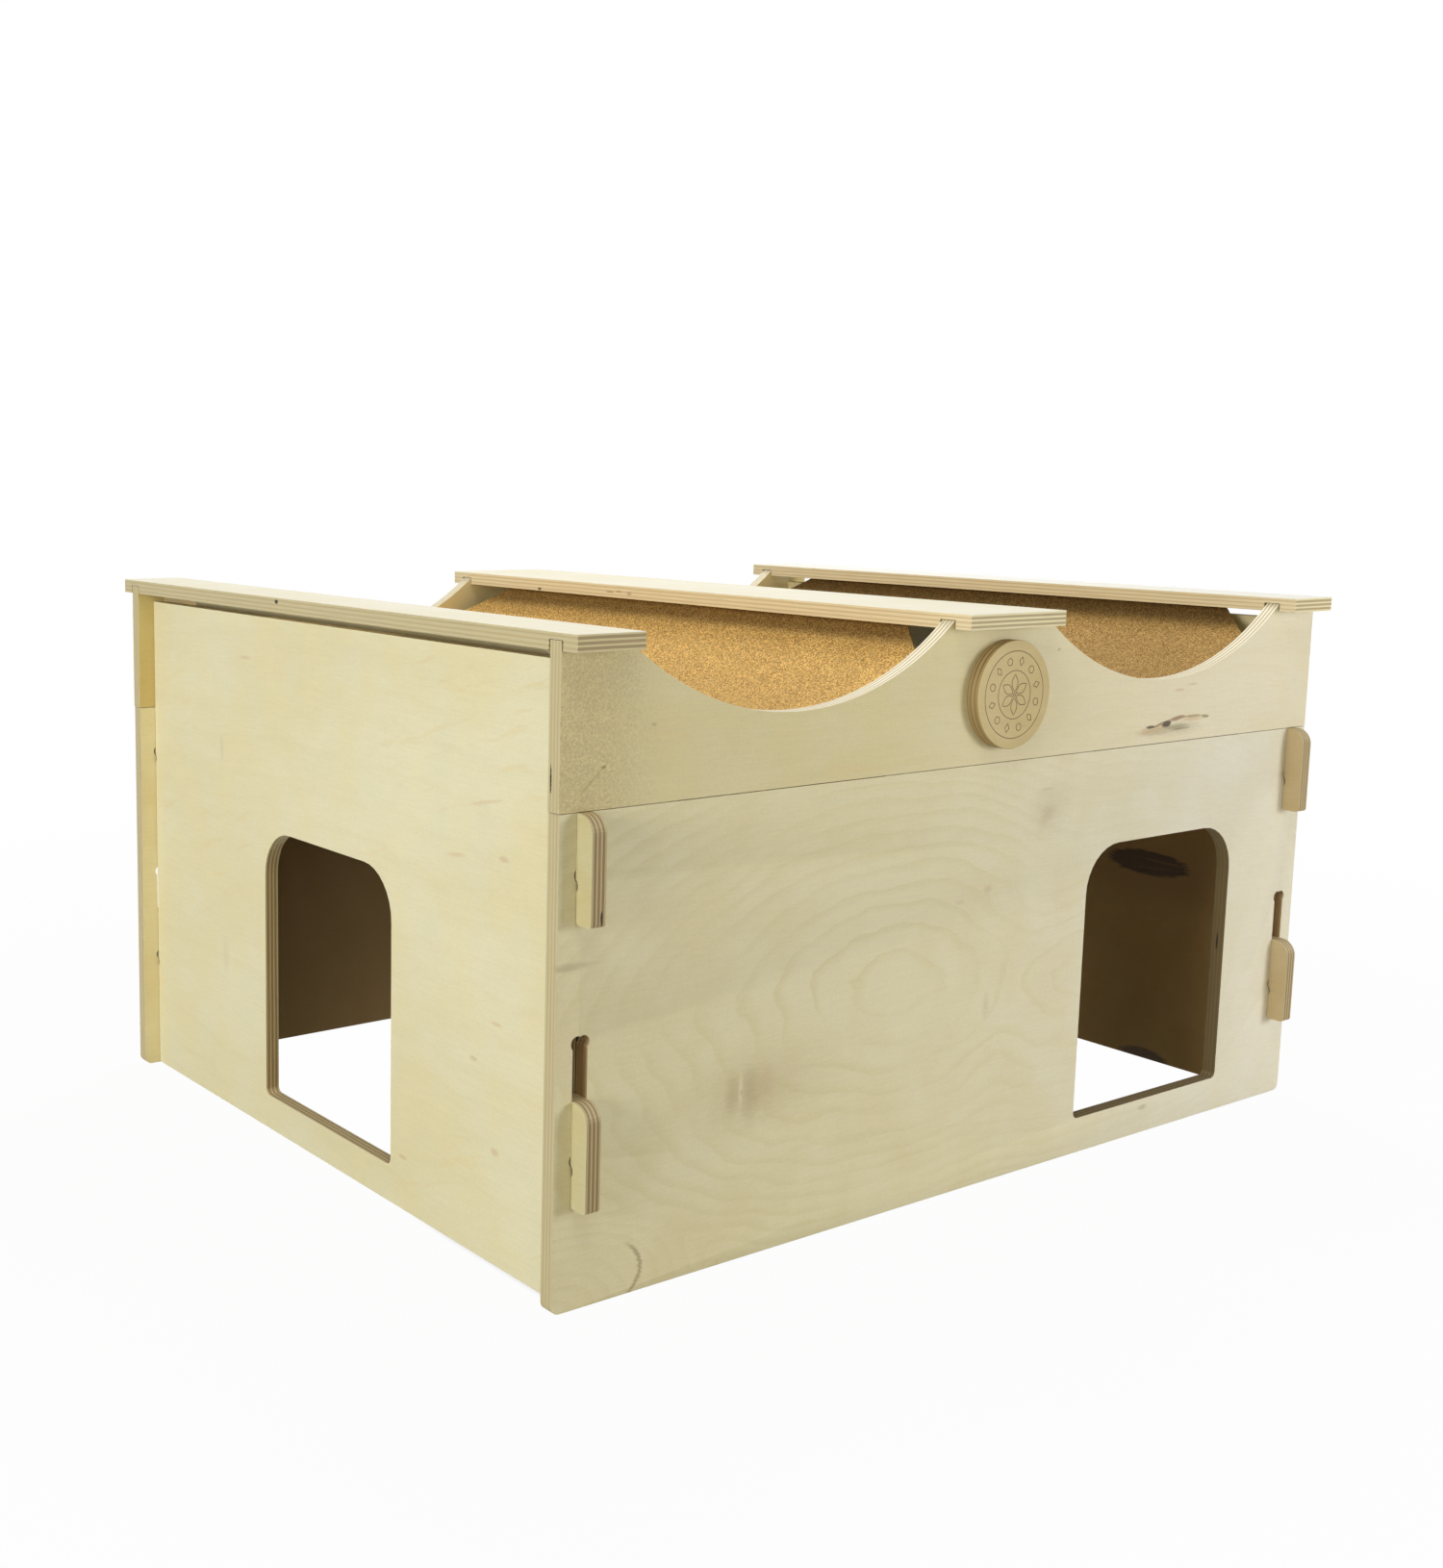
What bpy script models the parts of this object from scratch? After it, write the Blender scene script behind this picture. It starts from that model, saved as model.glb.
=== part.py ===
"""Rabbit house of birch plywood, held together by hook joints, with a lift-off roof of two cork troughs.

Metres, +Z up. The origin is on the floor under the middle of the house, the front faces -Y and the
side door faces -X. Every panel is drawn as a flat outline and given the thickness of the board.
"""
import math

import bmesh
import bpy
from mathutils import Vector

# Board and fits
PLY = 0.009
SEAT_GAP = 0.0003
SLOT_PLAY = 0.0002
CUTTER_RADIUS = 0.004

# Walls of the lower house
WALL_WIDTH = 0.635
WALL_HEIGHT = 0.2555
HOUSE_DEPTH = 0.487
WALL_FOOT_RADIUS = 0.005
SIDE_INSET = 0.011
SIDE_FLOOR_GAP = 0.0005
SIDE_TOP_GAP = 0.0057

# Doors
DOOR_WIDTH = 0.1495
DOOR_HEIGHT = 0.1735
DOOR_SILL = 0.0225
DOOR_TOP_RADIUS = 0.030
DOOR_FOOT_RADIUS = CUTTER_RADIUS
FRONT_DOOR_END_MARGIN = 0.0765

# Hooks on the side walls and their slots in the front and back walls
HOOK_REACH = 0.0122
HOOK_NECK_HEIGHT = 0.0335
HOOK_LIP_DROP = 0.022
HOOK_PITCH = 0.1455
HOOK_SHOULDER_RADIUS = 0.010
HOOK_TIP_RADIUS = 0.002
HOOK_LIFT_ROOM = 0.032

# Roof panels with two scallops each
ROOF_SIDE_MARGIN = 0.0005
SIDE_PILLAR_WIDTH = 0.0404
MIDDLE_PILLAR_WIDTH = 0.0808
SCALLOP_WEB = 0.0402
SCALLOP_DEPTH = 0.0436

# Boards across the top of the pillars
SIDE_BOARD_WIDTH = 0.042
MIDDLE_BOARD_WIDTH = 0.0825
BOARD_OVERHANG = 0.0125
DADO_DEPTH = 0.0052
DADO_PLAY = 0.001

# Troughs: a bent sheet under a layer of cork, its ends in grooves in the roof panels
TROUGH_DROP = 0.0149
TROUGH_FLATTENING = 0.0039
CORK_THICKNESS = 0.002
SHEET_THICKNESS = 0.003
TROUGH_CORNER_CUT = 0.041
GROOVE_DEPTH = 0.004
GROOVE_END_PLAY = 0.001
CUT_OVERRUN = 0.002

# Badge on the middle pillar
BADGE_RADIUS = 0.0315
BADGE_THICKNESS = 0.0075
BADGE_EDGE_CHAMFER = 0.0005
BADGE_SIDE_SHIFT = 0.0043
BADGE_HEIGHT_ON_PANEL = 0.0402

# How finely curves are drawn
CORNER_STEPS = 8
RELIEF_STEPS = 10
SCALLOP_STEPS = 36
TROUGH_STEPS = 28
BADGE_STEPS = 64

# Heights that follow from the stack of panels
ROOF_BOTTOM = WALL_HEIGHT + SEAT_GAP
SCALLOP_BOTTOM = ROOF_BOTTOM + SCALLOP_WEB
PANEL_TOP = SCALLOP_BOTTOM + SCALLOP_DEPTH
BOARD_UNDERSIDE = PANEL_TOP + SEAT_GAP - DADO_DEPTH
SIDE_TOP = BOARD_UNDERSIDE - SIDE_TOP_GAP

# Depths that follow from the house and the board
FRONT_FACE = -HOUSE_DEPTH / 2
FRONT_INNER_FACE = FRONT_FACE + PLY
SIDE_BODY_HALF = HOUSE_DEPTH / 2 - PLY - SEAT_GAP

# Bays of the roof
ROOF_WIDTH = WALL_WIDTH + 2 * ROOF_SIDE_MARGIN
SCALLOP_HALF_CHORD = (ROOF_WIDTH - 2 * SIDE_PILLAR_WIDTH - MIDDLE_PILLAR_WIDTH) / 4
BAY_CENTRE = MIDDLE_PILLAR_WIDTH / 2 + SCALLOP_HALF_CHORD
BAY_CENTRES = {"left": -BAY_CENTRE, "right": BAY_CENTRE}
SCALLOP_RADIUS = (SCALLOP_HALF_CHORD ** 2 + SCALLOP_DEPTH ** 2) / (2 * SCALLOP_DEPTH)

# Trough section: the cork's upper face runs below the scallops, on a slightly wider arc
TROUGH_RADIUS = SCALLOP_RADIUS + TROUGH_FLATTENING
TROUGH_AXIS_HEIGHT = SCALLOP_BOTTOM - TROUGH_DROP + TROUGH_RADIUS
CORK_BOTTOM_RADIUS = TROUGH_RADIUS + CORK_THICKNESS
SHEET_TOP_RADIUS = CORK_BOTTOM_RADIUS + SEAT_GAP
SHEET_BOTTOM_RADIUS = SHEET_TOP_RADIUS + SHEET_THICKNESS
TROUGH_HALF_ANGLE = math.acos((TROUGH_AXIS_HEIGHT - BOARD_UNDERSIDE + SEAT_GAP) / TROUGH_RADIUS)
SHEET_HALF_LENGTH = SIDE_BODY_HALF + GROOVE_DEPTH
CORK_HALF_LENGTH = SIDE_BODY_HALF
TONGUE_HALF_ARC = TROUGH_HALF_ANGLE * SHEET_TOP_RADIUS - TROUGH_CORNER_CUT
GROOVE_HALF_ANGLE = (TONGUE_HALF_ARC + GROOVE_DEPTH + GROOVE_END_PLAY) / SHEET_TOP_RADIUS

# How a flat drawing is stood up: across the house, or along its depth
FACING_FRONT = (math.pi / 2, 0, 0)
FACING_SIDE = (math.pi / 2, 0, math.pi / 2)

MATERIALS = {
    "birch_wall": ((0.72, 0.66, 0.47, 1), 0.55),
    "birch_side": ((0.76, 0.70, 0.46, 1), 0.55),
    "birch_roof": ((0.70, 0.63, 0.43, 1), 0.55),
    "birch_top": ((0.83, 0.79, 0.63, 1), 0.5),
    "bent_birch": ((0.62, 0.52, 0.33, 1), 0.6),
    "cork": ((0.58, 0.33, 0.13, 1), 0.85),
    "badge_wood": ((0.60, 0.47, 0.28, 1), 0.5),
}


def clear_scene():
    for thing in list(bpy.data.objects):
        bpy.data.objects.remove(thing, do_unlink=True)


def material(name):
    """The named finish as a Principled BSDF material, made once."""
    made = bpy.data.materials.get(name)
    if made:
        return made
    colour, roughness = MATERIALS[name]
    made = bpy.data.materials.new(name)
    made.use_nodes = True
    shader = made.node_tree.nodes["Principled BSDF"]
    shader.inputs["Base Color"].default_value = colour
    shader.inputs["Roughness"].default_value = roughness
    shader.inputs["Metallic"].default_value = 0
    made.diffuse_color = colour
    return made


def add_object(name, mesh, finish, location=(0, 0, 0), rotation=(0, 0, 0), parent=None):
    mesh.materials.append(material(finish))
    made = bpy.data.objects.new(name, mesh)
    made.location = location
    made.rotation_euler = rotation
    made.parent = parent
    bpy.context.scene.collection.objects.link(made)
    return made


# Outlines: each corner is (x, y, kind, radius), and kind is sharp, round or relief

def sharp(x, y):
    return (x, y, "sharp", 0)


def rounded(x, y, radius):
    return (x, y, "round", radius)


def relief(x, y):
    """A square inner corner that a round cutter has run into, so that a square piece seats in it."""
    return (x, y, "relief", CUTTER_RADIUS)


def rounded_corner(corner, to_last, to_next, radius):
    half = to_last.angle(to_next) / 2
    centre = corner + (to_last + to_next).normalized() * radius / math.sin(half)
    start = corner + to_last * radius / math.tan(half) - centre
    end = corner + to_next * radius / math.tan(half) - centre
    sweep = start.angle(end)
    points = []
    for step in range(CORNER_STEPS + 1):
        turn = sweep * step / CORNER_STEPS
        points.append(centre + (start * math.sin(sweep - turn) + end * math.sin(turn)) / math.sin(sweep))
    return points


def relieved_corner(corner, to_last, to_next, radius):
    """Half a turn of the cutter, from one edge through the square corner to the other edge."""
    centre = corner + (to_last + to_next) * radius / math.sqrt(2)
    start = corner + to_last * radius * math.sqrt(2) - centre
    through = corner - centre
    points = []
    for step in range(RELIEF_STEPS + 1):
        turn = math.pi * step / RELIEF_STEPS
        points.append(centre + start * math.cos(turn) + through * math.sin(turn))
    return points


def outline(corners):
    """The points of a closed outline, with its corners rounded or relieved as each one says."""
    places = [Vector((x, y)) for x, y, kind, radius in corners]
    points = []
    for index, (x, y, kind, radius) in enumerate(corners):
        corner = places[index]
        to_last = (places[index - 1] - corner).normalized()
        to_next = (places[(index + 1) % len(places)] - corner).normalized()
        if kind == "round":
            points += rounded_corner(corner, to_last, to_next, radius)
        elif kind == "relief":
            points += relieved_corner(corner, to_last, to_next, radius)
        else:
            points.append(corner)
    return points


def plate_mesh(name, border, holes, thickness):
    """A board of even thickness along local Z, cut to a border with holes through it."""
    sheet = bmesh.new()
    for loop in [border] + holes:
        corners = [sheet.verts.new((x, y, 0)) for x, y in loop]
        for index, corner in enumerate(corners):
            sheet.edges.new((corner, corners[(index + 1) % len(corners)]))
    bmesh.ops.triangle_fill(sheet, edges=sheet.edges[:], use_beauty=True, normal=(0, 0, 1))
    grown = bmesh.ops.extrude_face_region(sheet, geom=sheet.faces[:])
    top = [piece for piece in grown["geom"] if isinstance(piece, bmesh.types.BMVert)]
    bmesh.ops.translate(sheet, verts=top, vec=(0, 0, thickness))
    bmesh.ops.recalc_face_normals(sheet, faces=sheet.faces[:])
    return finished_mesh(name, sheet)


def finished_mesh(name, shape):
    mesh = bpy.data.meshes.new(name)
    shape.to_mesh(mesh)
    shape.free()
    mesh.shade_smooth()
    mesh.set_sharp_from_angle(angle=math.radians(30))
    return mesh


def mirrored(corners):
    """The same corners on the other side of local X = 0, so that the outline still runs one way round."""
    return [(-x, y, kind, radius) for x, y, kind, radius in reversed(corners)]


# Front and back walls

def hook_tops():
    """Heights of the upper and lower hooks' top edges."""
    return WALL_HEIGHT, WALL_HEIGHT - HOOK_PITCH


def throat_height(hook_top):
    return hook_top - HOOK_NECK_HEIGHT


def slot_span():
    """Where a side wall passes through the right half of a wall: the near and far edges of its slot."""
    outer = WALL_WIDTH / 2 - SIDE_INSET + SLOT_PLAY
    return outer - PLY - 2 * SLOT_PLAY, outer


def door_outline(centre):
    left, right = centre - DOOR_WIDTH / 2, centre + DOOR_WIDTH / 2
    top = DOOR_SILL + DOOR_HEIGHT
    return outline([
        rounded(left, DOOR_SILL, DOOR_FOOT_RADIUS),
        rounded(right, DOOR_SILL, DOOR_FOOT_RADIUS),
        rounded(right, top, DOOR_TOP_RADIUS),
        rounded(left, top, DOOR_TOP_RADIUS),
    ])


def wall_border():
    """A wall with its foot corners rounded and a notch in its top edge for each upper hook."""
    near, far = slot_span()
    notch_floor = throat_height(hook_tops()[0]) - SEAT_GAP
    half = WALL_WIDTH / 2
    right_half = [
        rounded(half, 0, WALL_FOOT_RADIUS),
        sharp(half, WALL_HEIGHT),
        sharp(far, WALL_HEIGHT),
        relief(far, notch_floor),
        relief(near, notch_floor),
        sharp(near, WALL_HEIGHT),
    ]
    return outline(right_half + mirrored(right_half))


def wall_slots():
    """The closed slots low in a wall: high enough for a lower hook to be lifted out."""
    near, far = slot_span()
    lower_top = hook_tops()[1]
    floor = throat_height(lower_top) - SEAT_GAP
    ceiling = lower_top + HOOK_LIFT_ROOM
    corners = [relief(near, floor), relief(far, floor), relief(far, ceiling), relief(near, ceiling)]
    return [outline(corners), outline(mirrored(corners))]


def add_walls():
    door_centre = WALL_WIDTH / 2 - FRONT_DOOR_END_MARGIN - DOOR_WIDTH / 2
    front = plate_mesh("front_wall", wall_border(), wall_slots() + [door_outline(door_centre)], PLY)
    add_object("front_wall", front, "birch_wall", (0, FRONT_INNER_FACE, 0), FACING_FRONT)
    back = plate_mesh("back_wall", wall_border(), wall_slots(), PLY)
    add_object("back_wall", back, "birch_wall", (0, -FRONT_FACE, 0), FACING_FRONT)


# Side walls with their hooks

def hook_corners(hook_top):
    """One hook on the rear edge, from under its lip round its shoulder to the top of its neck."""
    inner = HOUSE_DEPTH / 2 - PLY - SEAT_GAP
    lip = HOUSE_DEPTH / 2 + SEAT_GAP
    tip = HOUSE_DEPTH / 2 + HOOK_REACH
    throat = throat_height(hook_top)
    lip_foot = throat - HOOK_LIP_DROP
    return [
        relief(inner, throat),
        relief(lip, throat),
        rounded(lip, lip_foot, HOOK_TIP_RADIUS),
        rounded(tip, lip_foot, HOOK_TIP_RADIUS),
        rounded(tip, hook_top, HOOK_SHOULDER_RADIUS),
        sharp(inner, hook_top),
    ]


def side_border():
    upper, lower = hook_tops()
    rear_half = [sharp(SIDE_BODY_HALF, SIDE_FLOOR_GAP)]
    rear_half += hook_corners(lower)
    rear_half += hook_corners(upper)
    rear_half.append(sharp(SIDE_BODY_HALF, SIDE_TOP))
    return outline(rear_half + mirrored(rear_half))


def add_side_walls():
    """Each side wall slides straight up, so it sits on an empty at the foot of its slots."""
    outer = WALL_WIDTH / 2 - SIDE_INSET
    places = {"left": (-outer, [door_outline(0)]), "right": (outer - PLY, [])}
    for side, (start, holes) in places.items():
        slide = bpy.data.objects.new(side + "_side_slide", None)
        slide.location = (start, 0, 0)
        bpy.context.scene.collection.objects.link(slide)
        name = side + "_side_wall"
        mesh = plate_mesh(name, side_border(), holes, PLY)
        add_object(name, mesh, "birch_side", (0, 0, 0), FACING_SIDE, slide)


# Roof panels

def scallop_points(centre):
    """The scallop's arc from its right end down and up to its left end."""
    axis_height = SCALLOP_BOTTOM + SCALLOP_RADIUS - ROOF_BOTTOM
    half_angle = math.asin(SCALLOP_HALF_CHORD / SCALLOP_RADIUS)
    points = []
    for step in range(SCALLOP_STEPS + 1):
        turn = half_angle * (1 - 2 * step / SCALLOP_STEPS)
        across = centre + SCALLOP_RADIUS * math.sin(turn)
        points.append(Vector((across, axis_height - SCALLOP_RADIUS * math.cos(turn))))
    return points


def roof_panel_border():
    half = ROOF_WIDTH / 2
    height = PANEL_TOP - ROOF_BOTTOM
    border = [Vector((-half, 0)), Vector((half, 0)), Vector((half, height))]
    border += scallop_points(BAY_CENTRES["right"])
    border += scallop_points(BAY_CENTRES["left"])
    border.append(Vector((-half, height)))
    return border


def arc_section(inner_radius, outer_radius, half_angle, steps):
    """Places across a trough: the angle and the two radii at each step from left to right."""
    return [(half_angle * (2 * step / steps - 1), inner_radius, outer_radius) for step in range(steps + 1)]


def bent_sheet_mesh(name, sections, half_lengths):
    """A sheet bent about local Y, with its own half length at each section across it."""
    sheet = bmesh.new()
    rings = []
    for (angle, inner, outer), half_length in zip(sections, half_lengths):
        ring = []
        for radius, end in ((inner, -1), (outer, -1), (outer, 1), (inner, 1)):
            place = (radius * math.sin(angle), end * half_length, -radius * math.cos(angle))
            ring.append(sheet.verts.new(place))
        rings.append(ring)
    for last, following in zip(rings, rings[1:]):
        for index in range(len(last)):
            after = (index + 1) % len(last)
            sheet.faces.new((last[index], last[after], following[after], following[index]))
    sheet.faces.new(rings[0])
    sheet.faces.new(rings[-1])
    bmesh.ops.recalc_face_normals(sheet, faces=sheet.faces[:])
    return finished_mesh(name, sheet)


def add_groove(panel, centre, depth_start, roof):
    """Cut one curved groove for a trough's end into a roof panel's inner face."""
    sections = arc_section(SHEET_TOP_RADIUS - SEAT_GAP, SHEET_BOTTOM_RADIUS + SEAT_GAP,
                           GROOVE_HALF_ANGLE, TROUGH_STEPS)
    half_length = (GROOVE_DEPTH + SEAT_GAP + CUT_OVERRUN) / 2
    mesh = bent_sheet_mesh(panel.name + "_groove", sections, [half_length] * len(sections))
    middle = depth_start + math.copysign(half_length, -depth_start)
    place = (centre, middle, TROUGH_AXIS_HEIGHT - ROOF_BOTTOM)
    cutter = add_object(panel.name + "_groove", mesh, "bent_birch", place, (0, 0, 0), roof)
    cutter.hide_render = True
    cutter.hide_set(True)
    cutter.display_type = "WIRE"
    cut = panel.modifiers.new("groove", "BOOLEAN")
    cut.operation = "DIFFERENCE"
    cut.solver = "EXACT"
    cut.object = cutter


def add_roof_panels(roof):
    groove_floor = HOUSE_DEPTH / 2 - PLY + GROOVE_DEPTH + SEAT_GAP
    faces = {
        "roof_front_panel": (FRONT_INNER_FACE, -groove_floor),
        "roof_back_panel": (-FRONT_FACE, groove_floor),
    }
    for name, (near_face, groove_start) in faces.items():
        mesh = plate_mesh(name, roof_panel_border(), [], PLY)
        panel = add_object(name, mesh, "birch_roof", (0, near_face, 0), FACING_FRONT, roof)
        for centre in BAY_CENTRES.values():
            add_groove(panel, centre, groove_start, roof)


# Boards over the pillars

def board_border():
    """A board seen from its long side, with a dado across its underside for each roof panel."""
    half = HOUSE_DEPTH / 2 + BOARD_OVERHANG
    dado_outer = HOUSE_DEPTH / 2 + DADO_PLAY
    dado_inner = HOUSE_DEPTH / 2 - PLY - DADO_PLAY
    rear_half = [
        sharp(dado_inner, 0),
        sharp(dado_inner, DADO_DEPTH),
        sharp(dado_outer, DADO_DEPTH),
        sharp(dado_outer, 0),
        sharp(half, 0),
        sharp(half, PLY),
    ]
    return outline(rear_half + mirrored(rear_half))


def add_boards(roof):
    side_start = ROOF_WIDTH / 2 - SIDE_BOARD_WIDTH
    boards = {
        "top_board_left": (-ROOF_WIDTH / 2, SIDE_BOARD_WIDTH),
        "top_board_middle": (-MIDDLE_BOARD_WIDTH / 2, MIDDLE_BOARD_WIDTH),
        "top_board_right": (side_start, SIDE_BOARD_WIDTH),
    }
    for name, (start, width) in boards.items():
        mesh = plate_mesh(name, board_border(), [], width)
        place = (start, 0, BOARD_UNDERSIDE - ROOF_BOTTOM)
        add_object(name, mesh, "birch_top", place, FACING_SIDE, roof)


# Troughs

def trough_half_lengths(sections, half_length, end_inset):
    """Half the sheet's length at each section: its four corners are cut off at 45 degrees."""
    edge_arc = TROUGH_HALF_ANGLE * SHEET_TOP_RADIUS
    lengths = []
    for angle, inner, outer in sections:
        from_edge = edge_arc - abs(angle) * SHEET_TOP_RADIUS
        cut_line = half_length + end_inset - max(0, TROUGH_CORNER_CUT - from_edge)
        lengths.append(min(half_length, cut_line))
    return lengths


def trough_sections(inner_radius, outer_radius, cut_starts):
    """Even steps across the trough, with a section of their own where the corner cuts begin."""
    sections = arc_section(inner_radius, outer_radius, TROUGH_HALF_ANGLE, TROUGH_STEPS)
    for angle in (-cut_starts, cut_starts):
        sections.append((angle, inner_radius, outer_radius))
    return sorted(sections)


def add_troughs(roof):
    end_inset = SHEET_HALF_LENGTH - CORK_HALF_LENGTH
    layers = {
        "trough_sheet_": (SHEET_TOP_RADIUS, SHEET_BOTTOM_RADIUS, SHEET_HALF_LENGTH, 0, "bent_birch"),
        "cork_mat_": (TROUGH_RADIUS, CORK_BOTTOM_RADIUS, CORK_HALF_LENGTH, end_inset, "cork"),
    }
    for layer, (inner, outer, half_length, inset, finish) in layers.items():
        cut_starts = (TONGUE_HALF_ARC + inset) / SHEET_TOP_RADIUS
        sections = trough_sections(inner, outer, cut_starts)
        half_lengths = trough_half_lengths(sections, half_length, inset)
        for side, centre in BAY_CENTRES.items():
            mesh = bent_sheet_mesh(layer + side, sections, half_lengths)
            place = (centre, 0, TROUGH_AXIS_HEIGHT - ROOF_BOTTOM)
            add_object(layer + side, mesh, finish, place, (0, 0, 0), roof)


# Badge

def add_badge(roof):
    """A turned disc with its edges broken, glued to the middle pillar."""
    edge = BADGE_RADIUS - BADGE_EDGE_CHAMFER
    front = BADGE_THICKNESS - BADGE_EDGE_CHAMFER
    profile = [(0, 0), (edge, 0), (BADGE_RADIUS, BADGE_EDGE_CHAMFER), (BADGE_RADIUS, front),
               (edge, BADGE_THICKNESS), (0, BADGE_THICKNESS)]
    disc = bmesh.new()
    corners = [disc.verts.new((across, 0, along)) for across, along in profile]
    edges = [disc.edges.new(pair) for pair in zip(corners, corners[1:])]
    bmesh.ops.spin(disc, geom=corners + edges, cent=(0, 0, 0), axis=(0, 0, 1),
                   angle=2 * math.pi, steps=BADGE_STEPS, use_merge=True)
    bmesh.ops.remove_doubles(disc, verts=disc.verts[:], dist=SEAT_GAP / BADGE_STEPS)
    bmesh.ops.recalc_face_normals(disc, faces=disc.faces[:])
    mesh = finished_mesh("badge_disc", disc)
    place = (BADGE_SIDE_SHIFT, FRONT_FACE - SEAT_GAP, BADGE_HEIGHT_ON_PANEL)
    add_object("badge_disc", mesh, "badge_wood", place, FACING_FRONT, roof)


def add_roof():
    """The whole roof lifts straight off, so its pieces hang on one empty at its foot."""
    roof = bpy.data.objects.new("roof_lift", None)
    roof.location = (0, 0, ROOF_BOTTOM)
    bpy.context.scene.collection.objects.link(roof)
    add_roof_panels(roof)
    add_boards(roof)
    add_troughs(roof)
    add_badge(roof)


def main():
    clear_scene()
    add_walls()
    add_side_walls()
    add_roof()


main()
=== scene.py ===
"""Looks of the plywood rabbit house: birch veneer with its growth rings, plies on every cut edge,
granulated cork in the troughs and an engraved round badge, in soft studio light on a pale floor."""

import math

import bmesh
import bpy
from mathutils import Matrix, Vector


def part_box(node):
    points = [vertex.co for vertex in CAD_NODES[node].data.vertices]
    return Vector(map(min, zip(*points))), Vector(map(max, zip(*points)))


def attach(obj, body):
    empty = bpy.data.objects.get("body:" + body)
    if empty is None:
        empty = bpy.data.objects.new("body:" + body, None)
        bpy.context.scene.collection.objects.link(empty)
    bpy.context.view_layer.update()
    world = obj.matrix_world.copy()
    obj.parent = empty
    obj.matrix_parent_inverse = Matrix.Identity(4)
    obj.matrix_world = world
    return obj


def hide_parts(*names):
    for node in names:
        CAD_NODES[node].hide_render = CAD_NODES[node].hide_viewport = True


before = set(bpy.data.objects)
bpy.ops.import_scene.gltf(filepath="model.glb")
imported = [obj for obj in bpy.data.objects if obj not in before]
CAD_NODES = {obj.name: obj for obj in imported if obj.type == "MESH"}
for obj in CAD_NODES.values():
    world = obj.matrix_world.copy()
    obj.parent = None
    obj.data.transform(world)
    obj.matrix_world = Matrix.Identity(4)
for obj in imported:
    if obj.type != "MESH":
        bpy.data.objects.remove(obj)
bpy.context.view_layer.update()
X, Y, Z = 0, 1, 2
MM = 0.001

# Camera, worked out from the photograph's straight edges. Pixels are of the 1500 x 1630 frame.
IMAGE_WIDTH, IMAGE_HEIGHT = 1500, 1630
CAMERA_PLACE = Vector((-0.8474, -0.9337, 0.4156))
CAMERA_YAW, CAMERA_PITCH, CAMERA_ROLL = 35.094, -8.159, 0.648
FOCAL_PIXELS = 1907.3
PRINCIPAL_PIXEL = (503.0, 770.9)
SENSOR_WIDTH = 36.0

# Places on the house that the looks follow
FRONT_FACE = -0.2435
LEFT_FACE = -0.3065
RIGHT_INNER_FACE = 0.2975
ROOF_LEFT_END = -0.3180
HOOK_FRONT = -0.2557
DOOR_RIGHT_REVEAL = 0.2410
MIDDLE_BOARD_SIDE = -0.0412
TROUGH_AXIS_HEIGHT = 0.4681
TROUGH_MIDDLE = 0.1590
SHEET_RADIUS, SHEET_THICKNESS = 0.189307, 0.003
WALL_MIDDLE_HEIGHT = 0.13

# Where a change of colour starts and where it ends, in pairs
ROOM_SIDE, ROOM_END = (0.2988, 0.2982), (0.2362, 0.2356)
ABOVE_TROUGH = (0.312, 0.318)
DOOR_SILL = (0.0200, 0.0225)
ON_HOOKS = (FRONT_FACE - 0.2 * MM, FRONT_FACE - 0.6 * MM)

# Plywood: its plies, the radius of its arrises, its sheen and its relief
PLIES, SHEET_PLIES, BADGE_PLIES = 7, 3, 5
SHARP_ARRIS, SANDED_ARRIS = 0.00025, 0.0004
WOOD_SHEEN = 0.35
WOOD_RELIEF, WOOD_RELIEF_STRENGTH = 0.00012, 0.6

# Veneer: its mean shade, and how strongly its features show
MEAN_SHADE = 0.985
FIBRES, GRIT, FLECKS = 0.13, 0.15, 0.05
SANDED_SHARE, SANDED_GRAINS = 0.75, 1.4
FAR_RING_LOSS = 0.7

# Cut edges: how far plies sway and dark ones widen, and how strongly streaks and tones show
PLY_SWAY, PLY_WIDENING = 0.55, 0.58
EDGE_STREAKS, EDGE_ORANGE_SHARE, EDGE_TONE = 0.24, 0.40, 0.10
CUT_TINT_SOFTNESS = 0.4 * MM

# Badge: its rim, and what is engraved on its face
BADGE_CHAMFER = 0.0006
BADGE_STEPS, RING_STEPS, MOTIF_STEPS, CENTRE_STEPS = 128, 96, 24, 16
RING_RADII = (0.0253, 0.0140)
GROOVE_RADIUS = 0.00024
BURNT_FROM, BURNT_FULLY = 0.02 * MM, 0.08 * MM
UNBURNT_RIM, RIM_BLEND_END = 1.5 * MM, 2.0 * MM
BURNT_SHARE = 0.85
PETALS = 6
PETAL_START, PETAL_END, PETAL_HALF_WIDTH = 0.0016, 0.0118, 0.0026
MOTIFS = 12
MOTIF_RADIUS = 0.0197
MOTIF_CIRCLE, MOTIF_DIAMOND = 0.0021, 0.0027
CENTRE_CIRCLE = 0.0009

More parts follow.
